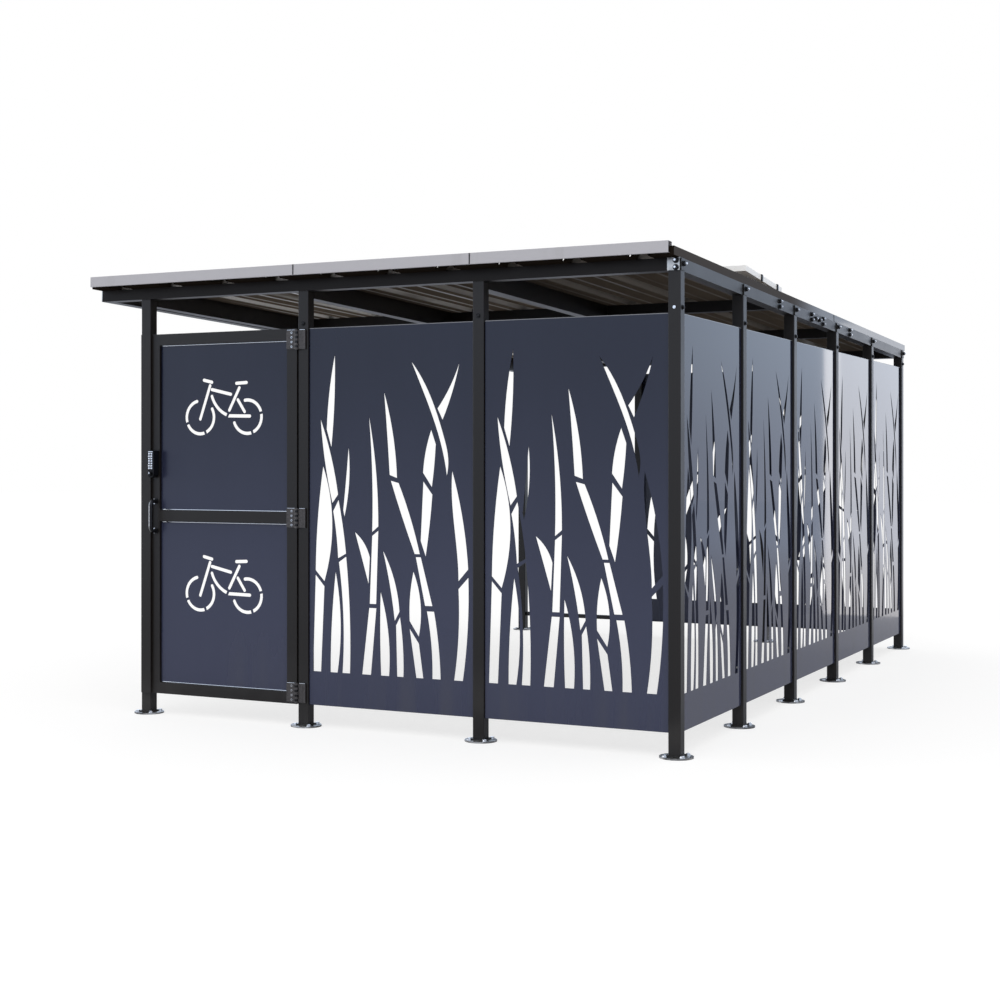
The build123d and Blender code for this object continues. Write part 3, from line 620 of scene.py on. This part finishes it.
def makeBolts():
    dome = domeBolt()
    hexHead = hexBolt("hexBolt", **boltSize["hex"])
    line = panelTop + boltSize["abovePanel"]
    spread(dome, "frontPostBolts", postSpots(frontRow[1:3], outFront, line) + postSpots(backRow, outBack, line),
           "handle_coating", "shelter")
    sideRow = ["front_right_post"] + rightRow + ["back_right_post"]
    spread(dome, "sidePostBolts", postSpots(sideRow, outRight, line), "handle_coating", "shelter")
    rivet = addRod("cornerBolt", 12, *boltSize["cornerRivet"])
    raiseTop(rivet, [(0.001, 0.002), (0.0018, 0.0012)])
    spread(rivet, "cornerPostBolt", postSpots(["front_right_post"], outFront, line), "bright_metal", "shelter")
    plate = addBlock("tonguePlate", boltSize["tongue"])
    raiseTop(plate, [(0.0012, 0.0002)])
    softenEdges(plate, 0.0008)
    backs, tongues = [], []
    for name in sideRow:
        y, face = centreOf(name).y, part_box(name)[1].x
        backs.append((Vector((face, y, roofZ(y, boltDrops["plate"]))), outRight))
        tongues.append((Vector((face + boltSize["tongue"][2], y, roofZ(y, boltDrops["tongue"]))), outRight))
    spread(plate, "tonguePlates", backs, "frame_paint", "shelter")
    spread(hexHead, "tongueBolts", tongues, "handle_coating", "shelter")
    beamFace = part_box("right_beam_front")[1].x
    pairs = []
    for name in ("cross_beam_1", "cross_beam_2"):
        y = centreOf(name).y
        pairs += [(Vector((beamFace, y, roofZ(y, drop))), outRight) for drop in boltDrops["cross"]]
    joint = (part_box("right_beam_front")[1].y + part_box("right_beam_back")[0].y) / 2
    for along, drops in boltDrops["splice"]:
        pairs += [(Vector((beamFace, joint + along, roofZ(joint + along, drop))), outRight) for drop in drops]
    spread(hexHead, "sideBeamBolts", pairs, "handle_coating", "shelter")
    low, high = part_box("beam_end_plates")
    ends = []
    for y, way in ((low.y, outFront), (high.y, outBack)):
        ends += [(Vector((beamFace - boltSize["endInset"], y, roofZ(y, drop))), way) for drop in boltDrops["end"]]
    spread(hexHead, "endPlateBolts", ends, "handle_coating", "shelter")
    # the stud ends are real parts, and their bright metal stands in for the bolts' highlights
    stud = addRod("studEndGlint", 10, *boltSize["stud"], boltSize["hexTop"])
    raiseTop(stud, [(0.0012, 0.0012)])
    spread(stud, "studEndGlints", tongues + pairs + ends, "bright_metal", "shelter")
    putAway(dome, hexHead, rivet, stud, plate)


# anchors and welds at the feet
footSize = {"anchorRadius": 0.060, "top": 0.008, "beadHalf": 0.0355, "beadHeight": 0.0055, "halfPost": 0.030,
            "anchor": {"washer": 0.0125, "acrossCorners": 0.0105, "height": 0.0075}}


def makeFeet():
    stud = hexBolt("anchorBolt", **footSize["anchor"])
    anchors = []
    beads = []
    for name in frontRow + rightRow + backRow:
        low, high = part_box(name)
        foot = Vector(((low.x + high.x) / 2, (low.y + high.y) / 2, footSize["top"]))
        if name in rightRow + ["front_right_post", "back_right_post"]:
            foot.x = high.x - footSize["halfPost"]
        beads.append((foot, straightUp))
        for quarter in range(4):
            angle = math.radians(45 + 90 * quarter)
            arm = Vector((math.cos(angle), math.sin(angle), 0)) * footSize["anchorRadius"]
            anchors.append((foot + arm, straightUp))
    spread(stud, "anchorBolts", anchors, "bright_metal", "shelter")
    bead = addBlock("weldBead", (footSize["beadHalf"] * 2, footSize["beadHalf"] * 2, footSize["beadHeight"]))
    top = footSize["beadHeight"]
    pickFaces(bead, lambda face: face.center.z > top - 1e-6)
    bpy.ops.mesh.inset(thickness=0.0045)
    bpy.ops.transform.translate(value=(0, 0, 0.001))
    bpy.ops.mesh.select_all(action="SELECT")
    bpy.ops.mesh.subdivide(number_cuts=5)
    bpy.ops.transform.vertex_random(offset=0.0009, seed=7)
    bpy.ops.object.mode_set(mode="OBJECT")
    spread(bead, "footWelds", beads, "frame_paint", "shelter")
    putAway(stud, bead)


makeBolts()
makeFeet()
print("bolts and feet fitted")


# door hinges
hingeFit = {"plate": 0.005, "rows": (-0.036, -0.012, 0.012, 0.036), "height": 0.098, "cap": 0.0088, "faceHeight": 0.094,
            "proud": 0.0012, "leafReach": (-0.012, 0.039), "flapReach": (-0.039, -0.014), "screwInset": 0.020,
            "leafEdge": (0.0135, 0.046), "flapEdge": (-0.0195, 0.034), "edge": (0.0048, 0.0030), "pinBehind": 0.009}


def makeHinges():
    plateFace = doorFace - hingeFit["plate"]
    leaf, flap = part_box("door_hinge_leaves"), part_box("post_hinge_leaves")
    middles = [leaf[0].z + hingeFit["height"] / 2, leaf[1].z - hingeFit["height"] / 2]
    middles.insert(1, (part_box("door_sheet_lower")[1].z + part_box("door_sheet_upper")[0].z) / 2)
    for name, start, reach, body in (("leafFaces", leaf[0].x, hingeFit["leafReach"], "door"),
                                     ("flapFaces", flap[1].x, hingeFit["flapReach"], "shelter")):
        low, high = start + reach[0], start + reach[1]
        face = addBlock("hingeFace", (high - low, hingeFit["faceHeight"], hingeFit["plate"] + hingeFit["proud"]))
        raiseTop(face, [(0.0018, -0.0004)])
        softenEdges(face, 0.0006)
        spots = [(Vector(((low + high) / 2, plateFace + hingeFit["plate"], z)), outFront) for z in middles]
        spread(face, name, spots, "frame_paint", body)
        putAway(face)
    cup = addRod("hingeCup", 12, 0.0056, 0.0030)
    raiseTop(cup, [(0.0006, 0.0006), (0.0014, -0.0012)])
    screw = addRod("hingeScrew", 10, 0.0034, 0.0016, 0.0018)
    raiseTop(screw, [(0.0008, 0.0008)])
    screwX = leaf[0].x + hingeFit["screwInset"]
    spots = [(Vector((screwX, plateFace, z + row)), outFront) for z in middles for row in hingeFit["rows"]]
    spread(cup, "leafCups", spots, "bright_metal", "door")
    spread(screw, "leafScrews", spots, "handle_coating", "door")
    # bright strips on the hinge plates' top edges are painted highlights
    for name, start, (along, width), body in (("leafEdgeHighlights", leaf[0].x, hingeFit["leafEdge"], "door"),
                                              ("flapEdgeHighlights", flap[1].x, hingeFit["flapEdge"], "shelter")):
        x = start + along
        highlightStrip = addBlock("hingeHighlightStrip", (width, *hingeFit["edge"]))
        softenEdges(highlightStrip, 0.0007)
        y = plateFace + hingeFit["edge"][0] / 2
        spots = [(Vector((x, y, z + hingeFit["height"] / 2)), straightUp) for z in middles]
        spread(highlightStrip, name, spots, "bright_metal", body)
        putAway(highlightStrip)
    hingeX = (leaf[0].x + flap[1].x) / 2
    hingeY = flap[0].y + hingeFit["pinBehind"]
    cap = addRod("pinCap", 14, hingeFit["cap"], 0.002)
    raiseTop(cap, [(0.0012, 0.0012), (0.0022, 0.0008)])
    caps = [(Vector((hingeX, hingeY, z + sign * hingeFit["height"] / 2)), Vector((0, 0, sign)))
            for z in middles for sign in (-1, 1)]
    spread(cap, "pinCaps", caps, "frame_paint", "shelter")
    ring = addRod("knuckleRing", 18, hingeFit["cap"] + 0.0008, 0.012, -0.006)
    softenEdges(ring, 0.0008)
    rings = [(Vector((hingeX, hingeY, z + row)), straightUp) for z in middles for row in hingeFit["rows"]]
    spread(ring, "knuckleRings", rings, "handle_coating", "shelter")
    putAway(cup, screw, cap, ring)


makeHinges()
print("hinges fitted")


# screws on the roof and rivets on its edges
roofFit = {"crest": 0.03975, "rivetPitch": 0.28, "saddle": (0.034, 0.034, 0.0015), "seat": 0.0025,
           "head": {"washer": 0.0085, "acrossCorners": 0.0062, "height": 0.0055}, "trimInset": 0.008, "trimStart": 0.12,
           "trimTop": 0.04125, "fasciaStart": 0.07, "fasciaInset": 0.036, "fasciaTop": 0.064}


def makeRoofFixings():
    saddle = addBlock("roofScrew", roofFit["saddle"])
    raiseTop(saddle, [(0.0035, 0.0012)])
    head = hexBolt("roofScrew", **roofFit["head"])
    head.data.transform(Matrix.Translation((0, 0, roofFit["seat"])))
    screw = joinAll([saddle, head], "roofScrew")
    spots = []
    for name in ("front_beam", "cross_beam_1", "cross_beam_2", "back_beam"):
        y = centreOf(name).y
        for index in range(1, ribCount - 1):
            x = deckLeft + (index + 0.5) * ribPitch
            spots.append((Vector((x, y, roofZ(y, roofFit["crest"] + 0.0008))), roofUp))
    spread(screw, "roofScrews", spots, "galvanised", "shelter")
    rivet = addRod("rivet", 10, 0.0050, 0.0008)
    raiseTop(rivet, [(0.0016, 0.0011), (0.0012, 0.0004)])
    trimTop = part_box("left_roof_trim")
    count = int((trimTop[1].y - trimTop[0].y) / roofFit["rivetPitch"])
    rivets = []
    for x in (deckLeft + ribPitch / 2 - roofFit["trimInset"], deckRight - ribPitch / 2 + roofFit["trimInset"]):
        for index in range(count):
            y = trimTop[0].y + roofFit["trimStart"] + index * roofFit["rivetPitch"]
            rivets.append((Vector((x, y, roofZ(y, roofFit["trimTop"]))), roofUp))
    spread(rivet, "trimRivets", rivets, "deck_coating", "shelter")
    fasciaLow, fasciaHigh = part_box("front_fascia")
    steps = int((fasciaHigh.x - fasciaLow.x) / roofFit["rivetPitch"])
    y = fasciaLow.y + roofFit["fasciaInset"]
    first, z = fasciaLow.x + roofFit["fasciaStart"], roofZ(y, roofFit["fasciaTop"])
    tops = [(Vector((first + index * roofFit["rivetPitch"], y, z)), roofUp) for index in range(steps)]
    spread(rivet, "fasciaRivets", tops, "fascia_paint", "shelter")
    putAway(screw, rivet)


makeRoofFixings()


# closure strips over the deck's flats and joiners behind the fascia
edgeFit = {"ribFoot": 0.054, "deckStart": 0.083, "stripDepth": 0.020, "stripHeight": 0.037,
           "joiner": (0.060, 0.048, 0.0012), "fasciaWall": 0.0015, "sealant": (0.006, 0.053, 0.001),
           "lap": (0.070, 0.0405, 0.0015), "lapGap": (0.012, 0.036, 0.0009), "lapPlace": 0.478,
           "endClear": 0.002, "joinerRise": 0.0365, "sealantRise": 0.037, "lapRise": 0.0207, "gapRise": 0.0222}


def makeEdgeFillers():
    y = frontFace - edgeFit["deckStart"] + edgeFit["stripDepth"] / 2 + 0.001
    base = roofZ(y, 0.0009)
    wide = ribPitch - 2 * edgeFit["ribFoot"]
    narrow = ribPitch / 2 - edgeFit["ribFoot"] - edgeFit["endClear"]
    inward = edgeFit["endClear"] + narrow / 2
    strips = []
    for name, width, middles in (("flatStrips", wide, [deckLeft + ribPitch * index for index in range(1, ribCount)]),
                                 ("endStrips", narrow, [deckLeft + inward, deckRight - inward])):
        strip = addBlock("closure", (width, edgeFit["stripDepth"], edgeFit["stripHeight"]))
        raiseTop(strip, [(0.003, -0.0015)])
        softenEdges(strip, 0.0012)
        spread(strip, name, [(Vector((x, y, base)), roofUp) for x in middles], "deck_coating", "shelter")
        strips.append(strip)
    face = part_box("front_fascia")[0].y + edgeFit["fasciaWall"] + edgeFit["joiner"][2] + 0.0006
    joiner = addBlock("joiner", edgeFit["joiner"])
    softenEdges(joiner, 0.0004)
    spots = [(Vector((centreOf(name).x, face, roofZ(face, edgeFit["joinerRise"]))), outFront)
             for name in ("hinge_post", "front_middle_post")]
    spread(joiner, "fasciaJoiners", spots, "deck_coating", "shelter")
    sealant = addBlock("sealant", edgeFit["sealant"])
    softenEdges(sealant, 0.0006, 2)
    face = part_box("front_fascia")[0].y
    spots = [(Vector((spot.x, face, roofZ(face, edgeFit["sealantRise"]))), outFront) for spot, way in spots]
    spread(sealant, "fasciaJoints", spots, "lock_case", "shelter")
    lap, gap = addBlock("trimLap", edgeFit["lap"]), addBlock("trimGap", edgeFit["lapGap"])
    softenEdges(lap, 0.0005)
    softenEdges(gap, 0.0003)
    y = edgeFit["lapPlace"]
    sides = ((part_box("left_roof_trim")[0].x, -outRight), (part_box("right_roof_trim")[1].x, outRight))
    half = (edgeFit["lap"][0] + edgeFit["lapGap"][0]) / 2
    laps = [(Vector((x, y, roofZ(y, edgeFit["lapRise"]))), way) for x, way in sides]
    gaps = [(Vector((x, y - half, roofZ(y, edgeFit["gapRise"]))), way) for x, way in sides]
    spread(lap, "trimLaps", laps, "deck_coating", "shelter")
    spread(gap, "trimGaps", gaps, "lock_case", "shelter")
    putAway(joiner, sealant, lap, gap, *strips)


makeEdgeFillers()
print("roof fixings fitted")


# keys of the lock, and bright edge beads of the door sheets that stand in for highlights
doorFit = {"key": (0.0104, 0.0094, 0.0038), "keyColumns": (-0.0078, 0.0078), "keyRows": 7, "keyPitch": 0.013,
           "topHighlight": (0.030, 0.005, 0.0025), "topHighlightDrop": 0.006, "pointerWidth": 0.0056, "bead": (0.0045, 0.006),
           "beadEdge": 0.001, "setback": 0.015}
sheetFace = doorFace + doorFit["setback"]


def makeDoorFittings():
    low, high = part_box("lock_buttons")
    middle = (low + high) / 2
    key = addBlock("key", doorFit["key"])
    softenEdges(key, 0.0011, 2)
    raiseTop(key, [(0.0012, -0.0004)])
    spots = []
    for row in range(doorFit["keyRows"]):
        z = middle.z + (row - (doorFit["keyRows"] - 1) / 2) * doorFit["keyPitch"]
        spots += [(Vector((middle.x + x, high.y, z)), outFront) for x in doorFit["keyColumns"]]
    keys = spread(key, "lockKeys", spots, "bright_metal", "door")
    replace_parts(keys, "lock_buttons")
    low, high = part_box("lock_knob")
    middle, rise = (low + high) / 2, high.y - low.y
    radius = (high.x - low.x) / 2
    knob = addRod("knob", 24, radius, rise * 0.3)
    raiseTop(knob, [(radius * 0.12, rise * 0.45)])
    pickFaces(knob, lambda face: abs(face.normal.z) < 0.1 and face.center.z > rise * 0.4 and face.index % 2)
    bpy.ops.mesh.inset(thickness=0.0003, depth=-0.0009, use_individual=True)
    bpy.ops.object.mode_set(mode="OBJECT")
    raiseTop(knob, [(0.0014, rise * 0.1), (0.0020, rise * 0.06)])
    # the pointer is a real part, made bright metal to stand in for the knob's highlight
    pointer = addBlock("pointer", (doorFit["pointerWidth"], radius * 0.8, rise * 0.08), (0, radius * 0.4, rise * 0.90))
    softenEdges(pointer, 0.0004)
    spot = [(Vector((middle.x, high.y, middle.z)), outFront)]
    spread(pointer, "knobPointer", spot, "bright_metal", "lock_knob")
    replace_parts(spread(knob, "turnKnob", spot, "handle_coating", "lock_knob"), "lock_knob")
    low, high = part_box("code_lock")
    # a bright strip on the lock's top edge is a painted highlight
    topHighlight = addBlock("lockTopHighlight", doorFit["topHighlight"])
    softenEdges(topHighlight, 0.0009, 2)
    spot = [(Vector(((low.x + high.x) / 2, low.y + 0.0006, high.z - doorFit["topHighlightDrop"])), outFront)]
    spread(topHighlight, "lockTopHighlight", spot, "bright_metal", "door")
    putAway(key, knob, pointer, topHighlight)
    # bright beads along the sheets' edges stand in for the highlight lines there
    beadHigh, beadDeep = doorFit["bead"]
    inward = doorFit["beadEdge"] + beadHigh / 2
    spots = []
    for name in ("door_sheet_lower", "door_sheet_upper"):
        low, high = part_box(name)
        for z in (low.z + inward, high.z - inward):
            spots.append((Vector(((low.x + high.x) / 2, sheetFace, z)), outFront))
    bead = addBlock("sheetBeadHighlight", (high.x - low.x - 2 * doorFit["beadEdge"], beadHigh, beadDeep))
    softenEdges(bead, 0.0014, 2)
    spread(bead, "sheetBeadHighlights", spots, "bright_metal", "door")
    putAway(bead)


# bridges that hold the islands of the bicycle stencil
bikeFit = {"wheelbase": 0.300, "wheel": 0.293, "hub": 0.56, "bridge": (0.021, 0.0135, 0.0014),
           "rims": ((-0.5, 201), (-0.5, 292), (0.5, 13), (0.5, -70)), "tube": (0.085, 0.030, 65),
           "sink": 0.0003}


def makeBridges():
    spots = [bikeFit["tube"]]                        # across, up and turn, in wheelbases from the middle of the hubs
    for hub, turn in bikeFit["rims"]:
        angle = math.radians(turn)
        spots.append((hub + bikeFit["wheel"] * math.cos(angle), bikeFit["wheel"] * math.sin(angle), turn))
    face = sheetFace + bikeFit["sink"]
    bridges = []
    for name in ("door_sheet_lower", "door_sheet_upper"):
        low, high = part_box(name)
        for across, up, turn in spots:
            bridge = addBlock("stencilBridge", bikeFit["bridge"])
            softenEdges(bridge, 0.0003)
            place = Vector(((low.x + high.x) / 2 + across * bikeFit["wheelbase"], face,
                            low.z + bikeFit["hub"] * (high.z - low.z) + up * bikeFit["wheelbase"]))
            lean = Matrix.Rotation(-math.radians(turn), 4, "Y") @ Matrix.Rotation(-math.radians(90), 4, "X")
            bridge.data.transform(Matrix.Translation(place) @ lean)
            bridges.append(bridge)
    dress(joinAll(bridges, "stencilBridges"), "sheet_paint", "door")


makeDoorFittings()
makeBridges()
print("door fittings fitted")


# screws through the folded sides of the sheets
trayFit = {"thick": 0.002, "inset": 0.019, "heights": (0.10, 0.36, 0.64, 0.90),
           "screw": {"washer": 0.0068, "acrossCorners": 0.0054, "height": 0.0038}}


def makeTrayScrews():
    screw = hexBolt("trayScrew", **trayFit["screw"])
    spots = []
    for name in nodes:
        if "_panel_" not in name:
            continue
        low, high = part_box(name)
        for share in trayFit["heights"]:
            z = low.z + (high.z - low.z) * share
            if name.startswith("right"):
                x = high.x - trayFit["inset"]
                spots += [(Vector((x, low.y + trayFit["thick"], z)), outBack),
                          (Vector((x, high.y - trayFit["thick"], z)), outFront)]
            else:
                y = low.y + trayFit["inset"] if name.startswith("front") else high.y - trayFit["inset"]
                spots += [(Vector((low.x + trayFit["thick"], y, z)), outRight),
                          (Vector((high.x - trayFit["thick"], y, z)), -outRight)]
    spread(screw, "trayScrews", spots, "galvanised", "shelter")
    putAway(screw)


makeTrayScrews()
print("tray screws fitted")


# clamps and junction box of the solar panel
solarFit = {"clamp": (0.020, 0.006, 0.034), "lip": (0.020, 0.012, 0.003), "shares": (0.42, 0.86),
            "clampFoot": -0.0188, "box": (0.090, 0.070, 0.018), "boxPlace": (0, -0.16, -0.0150)}


def makeSolarFittings():
    low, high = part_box("solar_panel")
    tilt = Matrix.Rotation(-solarLook["tilt"], 4, "X")
    middle = (low + high) / 2
    length = (high.y - low.y) / math.cos(solarLook["tilt"])
    turned = Matrix.Translation(middle) @ tilt
    clamps = []
    for share in solarFit["shares"]:
        for sign in (-1, 1):
            clamp = addBlock("solarClamp", solarFit["clamp"])
            pickFaces(clamp, lambda face: face.normal.y < -0.9)
            bpy.ops.mesh.inset(thickness=0.002)
            bpy.ops.mesh.extrude_region_move(TRANSFORM_OT_translate={"value": (0, -0.002, 0)})
            bpy.ops.object.mode_set(mode="OBJECT")
            lip = addBlock("solarClamp", solarFit["lip"],
                           (0, solarFit["lip"][1] / 2 - solarFit["clamp"][1] / 2, solarFit["clamp"][2]))
            softenEdges(lip, 0.0008)
            clamp = joinAll([clamp, lip], "solarClamp")
            side = Matrix.Rotation(math.radians(90) * sign, 4, "Z")
            out = (high.x - low.x) / 2 + solarFit["clamp"][1] / 2
            spot = Matrix.Translation((sign * out, (share - 0.5) * length, solarFit["clampFoot"]))
            clamp.data.transform(turned @ spot @ side)
            clamps.append(clamp)
    dress(joinAll(clamps, "solarClamps"), "handle_coating", "shelter")
    box = addBlock("junctionBox", solarFit["box"])
    raiseTop(box, [(0.006, -0.001)])
    softenEdges(box, 0.003, 2)
    box.data.transform(turned @ Matrix.Translation(solarFit["boxPlace"]) @ Matrix.Rotation(math.pi, 4, "X"))
    dress(box, "lock_case", "shelter")


makeSolarFittings()
print("solar fittings fitted")
